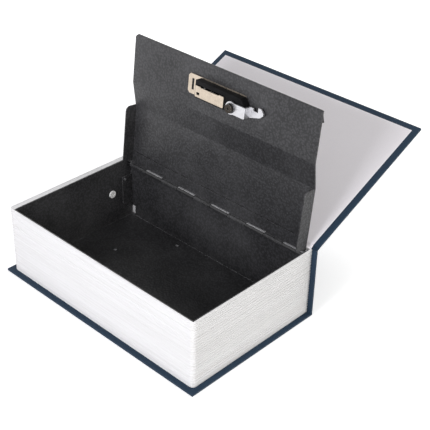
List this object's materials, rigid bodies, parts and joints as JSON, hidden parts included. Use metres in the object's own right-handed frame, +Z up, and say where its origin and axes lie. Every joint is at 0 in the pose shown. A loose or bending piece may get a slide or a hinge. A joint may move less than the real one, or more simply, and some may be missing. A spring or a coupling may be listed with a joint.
{
  "type": "book diversion safe",
  "caption": "Hollow book with a hinged steel box inside, a locking lid with number wheels and a turning latch, and a cloth cover that opens to the rear.",
  "frame": {"origin": "centre of the back cover's underside", "axes": "+X along the spine, +Y from the fore-edge to the spine, +Z up through the page block"},
  "size_m": [0.184, 0.2204, 0.1496],
  "materials": {
    "book_cloth": "fine woven navy book cloth",
    "greyboard": "raw board",
    "end_paper": "matt white paper",
    "page_plastic": "white, ribbed like page edges",
    "hammertone": "black hammertone paint",
    "bare_zinc": "bright zinc plate",
    "nickel": "nickel plate",
    "black_plastic": "satin black",
    "white_plastic": "satin white",
    "dark_steel": "blackened"
  },
  "bodies": {
    "book": {"back_board": "greyboard", "spine_board": "greyboard", "case_cloth": "book_cloth", "back_endpaper": "end_paper", "joint_cloth": "book_cloth", "page_block": "page_plastic", "steel_box": "hammertone", "corner_tab": "hammertone", "tab_rivet": "bare_zinc", "wall_plug": "white_plastic", "keeper": "hammertone", "floor_rivet_1": "dark_steel", "floor_rivet_2": "dark_steel", "hinge_box_leaf": "bare_zinc", "hinge_pin": "bare_zinc"},
    "lid": {"lid_panel": "hammertone", "hinge_lid_leaf": "hammertone", "lock_bracket": "nickel", "lock_housing": "black_plastic", "lock_cover": "nickel", "dial_axle": "dark_steel", "lock_escutcheon": "nickel"},
    "latch": {"latch_knob": "nickel", "latch_spindle": "dark_steel", "latch_lever": "nickel", "latch_washer": "dark_steel", "latch_screw": "dark_steel"},
    "dial_1": {"dial_1": "black_plastic"},
    "dial_2": {"dial_2": "black_plastic"},
    "dial_3": {"dial_3": "black_plastic"},
    "cover": {"front_board": "greyboard", "front_cloth": "book_cloth", "front_endpaper": "end_paper"}
  },
  "joints": [
    {"name": "lid_hinge", "type": "hinge", "parent": "book", "child": "lid", "pos_m": [0, 0.0494, 0.0497], "axis": [1, 0, 0], "range_deg": [0, 96.3]},
    {"name": "cover_hinge", "type": "hinge", "parent": "book", "child": "cover", "pos_m": [0, 0.0561, 0.05315], "axis": [1, 0, 0], "range_deg": [0, 155.3]},
    {"name": "latch_turn", "type": "hinge", "parent": "lid", "child": "latch", "pos_m": [0.0197, 0.05829, 0.13021], "axis": [0, -0.994, 0.1097], "range_deg": [0, 43]},
    {"name": "dial_1_spin", "type": "hinge", "parent": "lid", "child": "dial_1", "pos_m": [-0.0075, 0.05421, 0.13157], "axis": [1, 0, 0], "continuous": true},
    {"name": "dial_2_spin", "type": "hinge", "parent": "lid", "child": "dial_2", "pos_m": [-0.0001, 0.05421, 0.13157], "axis": [1, 0, 0], "continuous": true},
    {"name": "dial_3_spin", "type": "hinge", "parent": "lid", "child": "dial_3", "pos_m": [0.0073, 0.05421, 0.13157], "axis": [1, 0, 0], "continuous": true}
  ],
  "couplings": [
    {"joint": "cover_hinge", "follows": "lid_hinge", "ratio": 1.6127}
  ]
}
